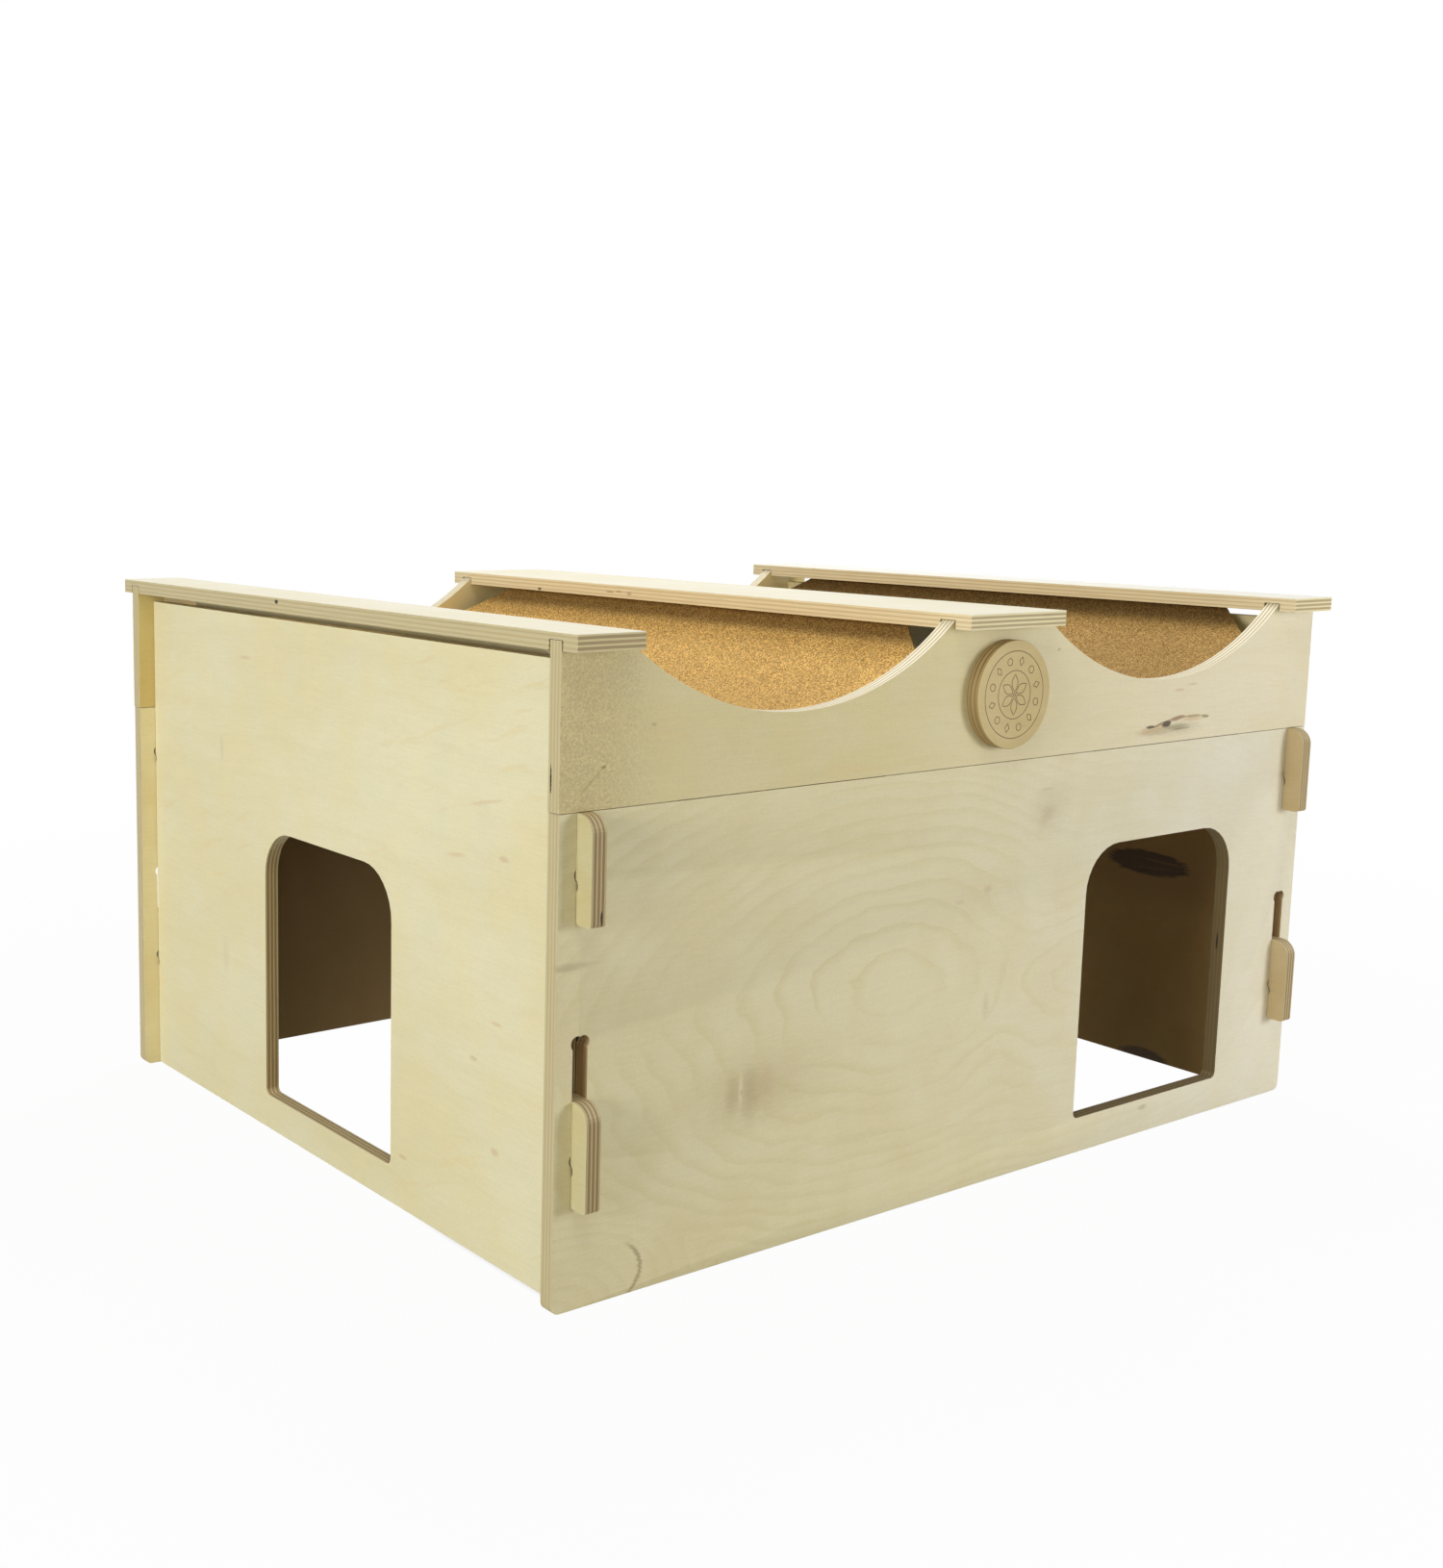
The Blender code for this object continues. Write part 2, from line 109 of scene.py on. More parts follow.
# Colours, as linear red, green and blue
FACE_PALE, FACE_WARM = (0.775, 0.705, 0.430), (0.735, 0.645, 0.365)
RIGHT_PALE, RIGHT_WARM = (0.785, 0.730, 0.545), (0.750, 0.685, 0.475)
SIDE_PALE, SIDE_WARM = (0.765, 0.724, 0.495), (0.740, 0.672, 0.415)
ROOF_PALE, ROOF_WARM = (0.720, 0.635, 0.345), (0.680, 0.580, 0.290)
ROOF_RIGHT_PALE, ROOF_RIGHT_WARM = (0.760, 0.680, 0.460), (0.725, 0.640, 0.395)
# Top boards: veneer paler and less yellow than the walls', painted light for the strong light from above;
# the right board's paler still
TOP_PALE_PAINTED_LIGHT, TOP_WARM_PAINTED_LIGHT = (0.835, 0.800, 0.645), (0.800, 0.745, 0.560)
RIGHT_TOP_PALE_PAINTED_LIGHT, RIGHT_TOP_WARM_PAINTED_LIGHT = (0.870, 0.865, 0.795), (0.850, 0.835, 0.740)
STRIP_PALE, STRIP_WARM = (0.890, 0.790, 0.460), (0.840, 0.705, 0.370)
# Roof's back panel, inner face: tan with painted shade at its ends, paler with painted light over the
# troughs
TAN_SHADE_PALE, TAN_SHADE_WARM = (0.740, 0.600, 0.240), (0.690, 0.525, 0.190)
PAINTED_LIT_TROUGH_PALE, PAINTED_LIT_TROUGH_WARM = (0.930, 0.810, 0.460), (0.880, 0.740, 0.380)
HOOK_PALE, HOOK_WARM = (0.570, 0.450, 0.250), (0.520, 0.395, 0.200)
# Painted shade: inner faces inside the house, darker still on the back wall's
INDOOR_SHADE_PALE, INDOOR_SHADE_WARM = (0.580, 0.378, 0.135), (0.530, 0.333, 0.106)
BACK_INDOOR_SHADE_PALE, BACK_INDOOR_SHADE_WARM = (0.395, 0.246, 0.075), (0.357, 0.217, 0.060)
SANDED_TAN = (0.570, 0.460, 0.210)
EDGE_LIGHT_END, EDGE_DARK_END = (0.760, 0.665, 0.355), (0.365, 0.270, 0.118)
# Painted light: paler colours for cut edges that face up
EDGE_LIGHT_UP_PAINTED_LIT, EDGE_DARK_UP_PAINTED_LIT = (0.940, 0.885, 0.680), (0.500, 0.380, 0.200)
HOOK_LIGHT_UP_PAINTED_LIT, HOOK_DARK_UP_PAINTED_LIT = (0.620, 0.520, 0.290), (0.330, 0.220, 0.100)
EDGE_LIGHT_SIDE, EDGE_DARK_SIDE = (0.585, 0.510, 0.300), (0.430, 0.325, 0.155)
HOOK_LIGHT_END, HOOK_DARK_END = (0.500, 0.405, 0.190), (0.255, 0.156, 0.060)
FAR_LIGHT_SIDE, FAR_DARK_SIDE = (0.880, 0.765, 0.500), (0.600, 0.440, 0.220)
LEFT_LIGHT_END, LEFT_DARK_END = (0.645, 0.540, 0.255), (0.305, 0.215, 0.080)
FAR_LIGHT_END, FAR_DARK_END = (0.830, 0.730, 0.395), (0.400, 0.298, 0.132)
EDGE_ORANGE = (0.640, 0.430, 0.190)
RING_TAN = (0.650, 0.560, 0.255)
STREAK_ORANGE = (0.720, 0.560, 0.250)
BADGE_PALE, BADGE_WARM = (0.600, 0.470, 0.210), (0.545, 0.410, 0.168)
BADGE_EDGE_LIGHT, BADGE_EDGE_DARK = (0.395, 0.280, 0.118), (0.172, 0.112, 0.042)
BURNT = (0.110, 0.070, 0.032)
# Tints of cut edges: char in the slots, char and painted shade on the front door, painted light on the side
# door
SLOT_CHAR, FRONT_DOOR_CHAR_AND_SHADE, SIDE_DOOR_PAINTED_LIGHT = (0.80, 0.65, 0.53), (0.36, 0.30, 0.21), (1.52, 1.52, 1.56)
HOOK_TINT = (0.77, 0.745, 0.640)
VOID = (0.030, 0.018, 0.009)
DARK_BARK = (0.075, 0.045, 0.020)
BARK_RED = (0.300, 0.170, 0.080)
OLIVE = (0.230, 0.200, 0.060)
GREY_OLIVE = (0.250, 0.205, 0.100)
SMUDGE = (0.370, 0.270, 0.125)
ORANGE = (0.560, 0.340, 0.140)
REDDISH = (0.500, 0.300, 0.150)
KNOT_DARK = (0.050, 0.028, 0.012)


class Recipe:
    """One material's node tree. Values passed to its methods are sockets or plain numbers."""

    def __init__(self, name):
        self.material = bpy.data.materials.new(name)
        self.material.use_nodes = True
        self.tree = self.material.node_tree
        self.surface = self.tree.nodes["Principled BSDF"]

    def put(self, socket, value):
        if isinstance(value, bpy.types.NodeSocket):
            self.tree.links.new(value, socket)
        elif socket.type == "RGBA":
            socket.default_value = (*value, 1.0)
        else:
            socket.default_value = value

    def add(self, kind, **settings):
        node = self.tree.nodes.new(kind)
        for key, value in settings.items():
            setattr(node, key, value)
        return node

    def calc(self, operation, a, b=0.0, c=0.0):
        node = self.add("ShaderNodeMath", operation=operation)
        for socket, value in zip(node.inputs, (a, b, c)):
            self.put(socket, value)
        return node.outputs[0]

    def times(self, a, b):
        return self.calc("MULTIPLY", a, b)

    def plus(self, a, b):
        return self.calc("ADD", a, b)

    def minus(self, a, b):
        return self.calc("SUBTRACT", a, b)

    def times_plus(self, a, b, c):
        return self.calc("MULTIPLY_ADD", a, b, c)

    def size(self, a):
        return self.calc("ABSOLUTE", a)

    def length(self, a, b):
        return self.calc("SQRT", self.plus(self.times(a, a), self.times(b, b)))

    def ease(self, value, start, end):
        """0 before start and 1 after end, with a smooth step between. start may be the larger one."""
        flip = start > end
        node = self.add("ShaderNodeMapRange", interpolation_type="SMOOTHSTEP")
        self.put(node.inputs["Value"], value)
        self.put(node.inputs["From Min"], min(start, end))
        self.put(node.inputs["From Max"], max(start, end))
        self.put(node.inputs["To Min"], 1.0 if flip else 0.0)
        self.put(node.inputs["To Max"], 0.0 if flip else 1.0)
        return node.outputs[0]

    def mix(self, share, first, second, blend="MIX"):
        node = self.add("ShaderNodeMix", data_type="RGBA", blend_type=blend)
        self.put(node.inputs[0], share)
        self.put(node.inputs[6], first)
        self.put(node.inputs[7], second)
        return node.outputs[2]

    def shaded(self, colour, shade):
        """The colour multiplied by a shade or a tint."""
        return self.mix(1.0, colour, shade, "MULTIPLY")

    def within(self, place, side, end):
        """1 round the middle of the house and 0 outside, with a step between the two values of each pair."""
        return self.times(self.ease(self.size(place[X]), *side), self.ease(self.size(place[Y]), *end))

    def vector(self, parts):
        node = self.add("ShaderNodeCombineXYZ")
        for socket, value in zip(node.inputs, parts):
            self.put(socket, value)
        return node.outputs[0]

    def parts(self, vector):
        node = self.add("ShaderNodeSeparateXYZ")
        self.put(node.inputs[0], vector)
        return list(node.outputs)

    def noise(self, parts, scales, seed=0.0, detail=3.0, roughness=0.5):
        """Smooth noise between 0 and 1 whose features are a metre over the scale long on each axis."""
        node = self.add("ShaderNodeTexNoise")
        moved = [self.times_plus(part, scale, seed) for part, scale in zip(parts, scales)]
        self.put(node.inputs["Vector"], self.vector(moved))
        self.put(node.inputs["Scale"], 1.0)
        self.put(node.inputs["Detail"], detail)
        self.put(node.inputs["Roughness"], roughness)
        return node.outputs[0]

    def centred(self, *args, **settings):
        return self.minus(self.noise(*args, **settings), 0.5)

    def cells(self, parts, scale, seed):
        node = self.add("ShaderNodeTexVoronoi")
        moved = [self.times_plus(part, scale, seed) for part in parts]
        self.put(node.inputs["Vector"], self.vector(moved))
        self.put(node.inputs["Scale"], 1.0)
        return node

    def bump(self, height, distance, strength):
        node = self.add("ShaderNodeBump")
        self.put(node.inputs["Strength"], strength)
        self.put(node.inputs["Distance"], distance)
        self.put(node.inputs["Height"], height)
        self.put(self.surface.inputs["Normal"], node.outputs[0])

    def rest_place(self):
        """Place and normal on the piece at rest, which move with the piece."""
        node = self.add("ShaderNodeTexCoord")
        return self.parts(node.outputs["Object"]), self.parts(node.outputs["Normal"])


class Board:
    """A plywood board's own axes: through its thickness, along its face grain and across it."""

    def __init__(self, node_name, through, along, outer, seed):
        self.name = node_name
        self.low, self.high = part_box(node_name)
        self.through, self.along = through, along
        self.across = ({X, Y, Z} - {through, along}).pop()
        self.outer = outer
        self.seed = seed

    def grain_parts(self, place):
        return place[self.along], place[self.across], place[self.through]

    def share_through(self, recipe, place):
        low, high = self.low[self.through], self.high[self.through]
        return recipe.times(recipe.minus(place[self.through], low), 1.0 / (high - low))

    def on_face(self, recipe, facing):
        return recipe.ease(recipe.size(facing[self.through]), 0.50, 0.85)

    def on_inner_face(self, recipe, facing):
        return recipe.ease(recipe.times(facing[self.through], self.outer), -0.5, -0.9)


class BentSheet(Board):
    """A trough's plywood sheet, bent round a level axis, with its face grain along the trough."""

    def __init__(self, node_name, middle, seed):
        super().__init__(node_name, Z, Y, 1, seed)
        self.middle = middle

    def share_through(self, recipe, place):
        across = recipe.minus(place[X], self.middle)
        below = recipe.minus(TROUGH_AXIS_HEIGHT, place[Z])
        depth = recipe.minus(recipe.length(across, below), SHEET_RADIUS)
        return recipe.times(depth, 1.0 / SHEET_THICKNESS)

    def on_face(self, recipe, facing):
        return recipe.ease(recipe.size(facing[Y]), 0.60, 0.30)


def spots(flat_axis, depth, rows):
    """Marks on a flat face. A row has two places, two half sizes, a turn, softness, strength and colour."""
    marks = []
    for first, second, half_first, half_second, turn, soft, strength, colour in rows:
        place, half = [first * MM, second * MM], [half_first * MM, half_second * MM]
        place.insert(flat_axis, depth)
        half.insert(flat_axis, 3 * MM)
        marks.append({"at": place, "half": half, "flat_axis": flat_axis, "turn": turn, "soft": soft,
                      "strength": strength, "colour": colour})
    return marks


def reach_of(recipe, place, mark):
    """Distance from a mark's centre in its own half sizes, with the mark turned about its flat axis."""
    offsets = [recipe.minus(part, centre) for part, centre in zip(place, mark["at"])]
    first, second = [axis for axis in (X, Y, Z) if axis != mark["flat_axis"]]
    angle = math.radians(mark["turn"])
    if angle:
        cos, sin = math.cos(angle), math.sin(angle)
        turned = recipe.plus(recipe.times(offsets[first], cos), recipe.times(offsets[second], sin))
        offsets[second] = recipe.minus(recipe.times(offsets[second], cos), recipe.times(offsets[first], sin))
        offsets[first] = turned
    total = 0.0
    for offset, half in zip(offsets, mark["half"]):
        share = recipe.times(offset, 1.0 / half)
        total = recipe.times_plus(share, share, total)
    return recipe.calc("SQRT", total)


def add_marks(recipe, colour, place, board, marks):
    """Lays knots, streaks and voids over a colour, with edges frayed along the grain."""
    fray = recipe.centred(board.grain_parts(place), (150.0, 800.0, 200.0), board.seed, detail=3.0)
    for mark in marks:
        reach = recipe.times_plus(fray, mark.get("fray", 0.9), reach_of(recipe, place, mark))
        soft = mark["soft"]
        inside = recipe.ease(reach, 1.0 + soft / 2, 1.0 - soft / 2)
        if "hollow" in mark:
            inner_edge = 1.0 - mark["hollow"]
            inside = recipe.times(inside, recipe.ease(reach, inner_edge - soft, inner_edge))
            inside = recipe.times(inside, recipe.ease(place[X], *mark["after"]))
        colour = recipe.mix(recipe.times(inside, mark["strength"]), colour, mark["colour"])
    return colour


def growth_rings(recipe, place, board, hearts, spacing):
    """How dark a place is with late wood.

    Rings run round the hearts and lie closer further out, or along the grain where there is no heart."""
    parts = board.grain_parts(place)
    wander = recipe.times(recipe.centred(parts, (7.0, 13.0, 1.0), board.seed, detail=1.0), 2.6)
    wander = recipe.times_plus(recipe.centred(parts, (26.0, 50.0, 1.0), board.seed, detail=2.0), 1.0, wander)
    reach = None
    for heart in hearts:
        ovals = recipe.plus(reach_of(recipe, place, heart), heart["strength"])
        reach = ovals if reach is None else recipe.calc("SMOOTH_MIN", reach, ovals, 1.2)
    if reach is None:
        count, dark_share, depth = recipe.times(parts[1], 1.0 / spacing), 0.30, 1.0
    else:
        count = recipe.times(reach, recipe.times_plus(reach, 0.045, 0.55))
        dark_share = recipe.times_plus(reach, 0.025, 0.13)
        depth = recipe.times_plus(recipe.ease(reach, 7.5, 3.0), 0.30, 0.70)
    phase = recipe.calc("FRACT", recipe.plus(count, wander))
    from_end = recipe.calc("DIVIDE", recipe.minus(1.0, phase), dark_share)
    band = recipe.times(recipe.ease(from_end, 2.0, 0.2), recipe.ease(from_end, 0.0, 0.30))
    return recipe.times(band, depth)


def slanting_streaks(recipe, parts, degrees, seed):
    """Thin wavering streaks at an angle to the grain, in some places only."""
    cos, sin = math.cos(math.radians(degrees)), math.sin(math.radians(degrees))
    along = recipe.plus(recipe.times(parts[0], cos), recipe.times(parts[1], sin))
    across = recipe.minus(recipe.times(parts[1], cos), recipe.times(parts[0], sin))
    across = recipe.times_plus(recipe.centred(parts, (30.0, 30.0, 1.0), seed, detail=2.0), 0.012, across)
    waves = recipe.noise((along, across, 0.0), (16.0, 170.0, 1.0), seed, detail=2.0)
    patches = recipe.noise(parts, (9.0, 9.0, 1.0), seed, detail=1.0)
    return recipe.times(recipe.ease(waves, 0.57, 0.72), recipe.ease(patches, 0.42, 0.62))


def veneer(recipe, place, facing, board, looks):
    """The face veneer: colour clouds, growth rings that fade in and out, fibres, flecks and grit, with
    painted light and painted shade where the looks ask for them.
    """
    parts = board.grain_parts(place)
    seed = board.seed
    figure = recipe.centred(parts, (34.0, 24.0, 4.0), seed + 5.0, detail=3.0)
    wide = recipe.noise(parts, (5.0, 12.0, 4.0), seed, detail=3.0)
    cloud = recipe.ease(recipe.times_plus(figure, 0.8, wide), 0.28, 0.74)
    colour = recipe.mix(cloud, looks["pale"], looks["warm"])
    ring_depth = looks["ring_depth"]
    if "far_end" in looks:
        pale, warm, start, end = looks["far_end"]
        share = recipe.ease(place[board.along], start, end)
        colour = recipe.mix(share, colour, recipe.mix(cloud, pale, warm))
        ring_depth = recipe.times_plus(share, -FAR_RING_LOSS * ring_depth, ring_depth)
    fibre = recipe.noise(parts, (50.0, 900.0, 40.0), seed, detail=4.0, roughness=0.6)
    fleck = recipe.ease(recipe.noise(parts, (170.0, 1900.0, 60.0), seed, detail=1.0), 0.64, 0.80)
    grit = recipe.noise(place, (1300.0, 1300.0, 1300.0), 0.0, detail=2.0)
    shade = recipe.times_plus(recipe.minus(fibre, 0.5), FIBRES, MEAN_SHADE)
    shade = recipe.times_plus(recipe.minus(grit, 0.5), GRIT, shade)
    shade = recipe.times_plus(figure, looks.get("figure", 0.05), shade)
    shade = recipe.times_plus(fleck, -FLECKS, shade)
    # Painted light: the wall gets paler towards the bottom, for the light the floor sends back
    if "painted_light_below" in looks:
        below = recipe.minus(WALL_MIDDLE_HEIGHT, place[Z])
        shade = recipe.times_plus(below, looks["painted_light_below"], shade)
    if "sandy" in looks:
        full_until, none_from = looks["sandy"]
        coarse = recipe.centred(place, (1000.0, 1000.0, 1000.0), 5.0, detail=3.0, roughness=0.8)
        near = recipe.ease(place[board.along], none_from, full_until)
        colour = recipe.mix(recipe.times(near, SANDED_SHARE), colour, SANDED_TAN)
        shade = recipe.times_plus(recipe.times(coarse, near), SANDED_GRAINS, shade)
    fading = recipe.ease(recipe.noise(parts, (10.0, 26.0, 3.0), seed, detail=2.0), 0.25, 0.62)
    rings = growth_rings(recipe, place, board, looks.get("hearts", ()), looks["ring_spacing"])
    colour = recipe.mix(recipe.times(recipe.times(rings, fading), ring_depth), colour, RING_TAN)
    if "streaks" in looks:
        degrees, strength = looks["streaks"]
        streak = slanting_streaks(recipe, parts, degrees, seed)
        colour = recipe.mix(recipe.times(streak, strength), colour, STREAK_ORANGE)
    # Inner faces may take colours of their own; on the roof's back panel they hold painted shade
    if "inner" in looks:
        back = recipe.mix(cloud, *looks["inner"])
        colour = recipe.mix(board.on_inner_face(recipe, facing), colour, back)
    # Inner faces inside the house take the looks' inside colour: painted shade on the walls, painted light
    # on the roof's back panel
    if "inside" in looks:
        indoors = recipe.within(place, ROOM_SIDE, ROOM_END)
        indoors = recipe.times(indoors, board.on_inner_face(recipe, facing))
        room = recipe.mix(cloud, *looks["inside"])
        # Above the troughs the inner face is paler: painted light
        if "painted_light_above_trough" in looks:
            room = recipe.mix(recipe.ease(place[Z], *ABOVE_TROUGH), room, looks["painted_light_above_trough"])
        colour = recipe.mix(indoors, colour, room)
    if "hook_tint" in looks:
        tinted = recipe.shaded(colour, looks["hook_tint"])
        colour = recipe.mix(recipe.ease(place[Y], *ON_HOOKS), colour, tinted)
    return recipe.shaded(colour, shade), fibre, grit


def cut_edge(recipe, place, facing, board, looks):
    """The cut edge: alternate plies, in dark bands on ends that face the front, in thin lines elsewhere."""
    sway = recipe.centred(place, (12.0, 12.0, 12.0), board.seed, detail=2.0)
    depth = recipe.times(board.share_through(recipe, place), float(looks["plies"]))
    depth = recipe.times_plus(sway, PLY_SWAY, depth)
    end_on = recipe.calc("POWER", recipe.size(facing[Y]), 2.0)
    upward = recipe.ease(facing[Z], 0.1, 0.6)
    wave = recipe.calc("SINE", recipe.times(depth, math.pi))
    band = recipe.ease(recipe.times_plus(end_on, -PLY_WIDENING, wave), -0.16, -0.52)
    scales = [70.0, 70.0, 70.0]
    scales[board.through] = 2400.0
    streak = recipe.noise(place, scales, board.seed, detail=3.0, roughness=0.6)
    long_scales = [16.0, 16.0, 16.0]
    long_scales[board.through] = 1100.0
    tone = recipe.noise(place, long_scales, board.seed + 9.0, detail=2.0)
    contrast = recipe.times_plus(recipe.calc("MAXIMUM", end_on, upward), 0.40, 0.55)
    # Edges that face up take paler colours: painted light
    light = recipe.mix(upward, recipe.mix(end_on, *looks["edge_light"]), looks["edge_up"][0])
    dark = recipe.mix(upward, recipe.mix(end_on, *looks["edge_dark"]), looks["edge_up"][1])
    share = recipe.times(band, recipe.times_plus(streak, 0.6, 0.60))
    colour = recipe.mix(recipe.times(share, contrast), light, dark)
    colour = recipe.mix(recipe.times(recipe.ease(tone, 0.56, 0.78), EDGE_ORANGE_SHARE), colour, EDGE_ORANGE)
    shade = recipe.times_plus(streak, EDGE_STREAKS, 0.82)
    shade = recipe.times_plus(recipe.ease(tone, 0.45, 0.25), -EDGE_TONE, shade)
    colour = recipe.shaded(colour, shade)
    # Cut edges with a tint of their own: char in the slots, char and painted shade at the front door,
    # painted light at the side door
    for axis, middle, half, tint in looks.get("char_and_painted_light_tints", ()):
        off = recipe.size(recipe.minus(recipe.size(place[axis]), middle))
        tinted_cut = recipe.ease(off, half + CUT_TINT_SOFTNESS, half)
        tinted_cut = recipe.times(tinted_cut, recipe.ease(place[Z], *DOOR_SILL))
        colour = recipe.mix(tinted_cut, colour, recipe.shaded(colour, tint))
    return colour


PLAIN_LOOKS = {
    "pale": FACE_PALE, "warm": FACE_WARM,
    "ring_spacing": 0.011, "ring_depth": 0.35,
    "plies": PLIES,
    "edge_light": (EDGE_LIGHT_SIDE, EDGE_LIGHT_END), "edge_dark": (EDGE_DARK_SIDE, EDGE_DARK_END),
    "edge_up": (EDGE_LIGHT_UP_PAINTED_LIT, EDGE_DARK_UP_PAINTED_LIT),
    "roughness": 0.52, "marks": (),
}


def plywood(board, **changes):
    """Birch plywood: veneer on the two faces and plies on the cut edges."""
    looks = {**PLAIN_LOOKS, **changes}
    recipe = Recipe(board.name + "_birch")
    place, facing = recipe.rest_place()
    face, fibre, grit = veneer(recipe, place, facing, board, looks)
    edge = cut_edge(recipe, place, facing, board, looks)
    colour = recipe.mix(board.on_face(recipe, facing), edge, face)
    if looks["marks"]:
        colour = add_marks(recipe, colour, place, board, looks["marks"])
    recipe.put(recipe.surface.inputs["Base Color"], colour)
    recipe.put(recipe.surface.inputs["Roughness"], recipe.times_plus(fibre, 0.22, looks["roughness"]))
    recipe.surface.inputs["Specular IOR Level"].default_value = WOOD_SHEEN
    relief = recipe.plus(recipe.times(fibre, 0.6), recipe.times(grit, 0.4))
    recipe.bump(relief, WOOD_RELIEF, WOOD_RELIEF_STRENGTH)
    return recipe


CORK_BROWN, CORK_TAN = (0.470, 0.280, 0.080), (0.920, 0.640, 0.215)
CORK_DARK, CORK_LIGHT = (0.220, 0.115, 0.035), (0.950, 0.780, 0.400)
CORK_SEAM = (0.330, 0.180, 0.055)
# The right mat's tint is painted shade: it is darker than the left one
LEFT_CORK_TINT, RIGHT_CORK_PAINTED_SHADE = (1.14, 1.06, 0.92), (0.73, 0.67, 0.59)
CORK_GRAINS, SMALL_CORK_GRAINS = 1150.0, 2300.0
CORK_ROUGHNESS, CORK_SHEEN = 0.85, 0.2
CORK_RELIEF, CORK_RELIEF_STRENGTH = 0.0004, 0.6
UNDER_BOARD_BEFORE, UNDER_BOARD_AFTER = 3.0 * MM, 5.0 * MM
UNDER_BOARD_PAINTED_SHADOW = 0.56


def cork(node_name, seed, tint, board_edge):
    """Cork granules pressed together: rounded grains of several browns with dark seams and flecks.

    The strip that runs under a top board, from board_edge on, is darker with painted shadow."""
    recipe = Recipe(node_name + "_cork")
    place, _ = recipe.rest_place()
    grains = recipe.cells(place, CORK_GRAINS, seed)
    small_grains = recipe.cells(place, SMALL_CORK_GRAINS, seed)
    tone = recipe.parts(grains.outputs["Color"])[0]
    small_tone = recipe.parts(small_grains.outputs["Color"])[1]
    seam = recipe.ease(grains.outputs["Distance"], 0.38, 0.75)
    cloud = recipe.noise(place, (45.0, 45.0, 45.0), seed, detail=3.0)
    colour = recipe.mix(recipe.ease(tone, 0.25, 0.75), CORK_BROWN, CORK_TAN)
    colour = recipe.mix(recipe.times(recipe.ease(small_tone, 0.74, 0.86), 0.85), colour, CORK_DARK)
    colour = recipe.mix(recipe.times(recipe.ease(small_tone, 0.28, 0.14), 0.80), colour, CORK_LIGHT)
    colour = recipe.mix(recipe.times(seam, 0.50), colour, CORK_SEAM)
    colour = recipe.shaded(colour, recipe.times_plus(cloud, 0.24, 0.88))
    # The mat's tint; on the right mat it is painted shade
    colour = recipe.shaded(colour, tint)
    # Painted shadow on the strip under the top board
    under = recipe.ease(place[X], board_edge - UNDER_BOARD_BEFORE, board_edge + UNDER_BOARD_AFTER)
    colour = recipe.shaded(colour, recipe.times_plus(under, -UNDER_BOARD_PAINTED_SHADOW, 1.0))
    recipe.put(recipe.surface.inputs["Base Color"], colour)
    recipe.surface.inputs["Roughness"].default_value = CORK_ROUGHNESS
    recipe.surface.inputs["Specular IOR Level"].default_value = CORK_SHEEN
    recipe.bump(recipe.minus(1.0, grains.outputs["Distance"]), CORK_RELIEF, CORK_RELIEF_STRENGTH)
    return recipe.material


def dress(node_name, material, arris_radius):
    """Gives a CAD piece its finish and eases its arrises, as sanding does."""
    piece = CAD_NODES[node_name]
    for slot in piece.material_slots:
        slot.material = material
    weld = piece.modifiers.new("weld", "WELD")
    weld.merge_threshold = 0.000001
    flat = piece.modifiers.new("flat", "DECIMATE")
    flat.decimate_type = "DISSOLVE"
    flat.angle_limit = math.radians(0.5)
    arris = piece.modifiers.new("arris", "BEVEL")
    arris.width = arris_radius
    arris.segments = 2
    arris.limit_method = "ANGLE"
    arris.angle_limit = math.radians(35.0)
    arris.harden_normals = True


def add_object(name, mesh):
    piece = bpy.data.objects.new(name, mesh)
    bpy.context.scene.collection.objects.link(piece)
    return piece


def object_from(mesh, name):
    """Makes a closed bmesh into an object and frees it."""
    bmesh.ops.recalc_face_normals(mesh, faces=mesh.faces[:])
    data = bpy.data.meshes.new(name)
    mesh.to_mesh(data)
    mesh.free()
    return add_object(name, data)


def closed_tube(mesh, points, radius, sides=6):
    """Adds a closed tube round a flat loop of points in the X-Z plane."""
    count = len(points)
    rings = []
    for index, point in enumerate(points):
        ahead = (points[(index + 1) % count] - points[index - 1]).normalized()
        outward = Vector((ahead.z, 0.0, -ahead.x))
        ring = []
        for side in range(sides):
            turn = 2 * math.pi * side / sides
            offset = outward * math.cos(turn) + Vector((0.0, 1.0, 0.0)) * math.sin(turn)
            ring.append(mesh.verts.new(point + radius * offset))
        rings.append(ring)
    for index, ring in enumerate(rings):
        following = rings[(index + 1) % count]
        for side in range(sides):
            after = (side + 1) % sides
            mesh.faces.new((ring[side], ring[after], following[after], following[side]))


def ahead_and_aside(angle):
    ahead = Vector((math.cos(angle), 0.0, math.sin(angle)))
    return ahead, Vector((-ahead.z, 0.0, ahead.x))


def circle_loop(centre, radius, steps):
    return [centre + radius * ahead_and_aside(2 * math.pi * step / steps)[0] for step in range(steps)]


def petal_loop(angle, steps=14):
    """A pointed leaf from near the badge's middle to the inner ring, bounded by two arcs."""
    ahead, aside = ahead_and_aside(angle)
    loop = []
    for sign in (1, -1):
        for step in range(steps):
            share = step / steps if sign > 0 else 1.0 - step / steps
            bulge = PETAL_HALF_WIDTH * math.sin(math.pi * share)
            distance = PETAL_START + (PETAL_END - PETAL_START) * share
            loop.append(ahead * distance + aside * sign * bulge)
    return loop


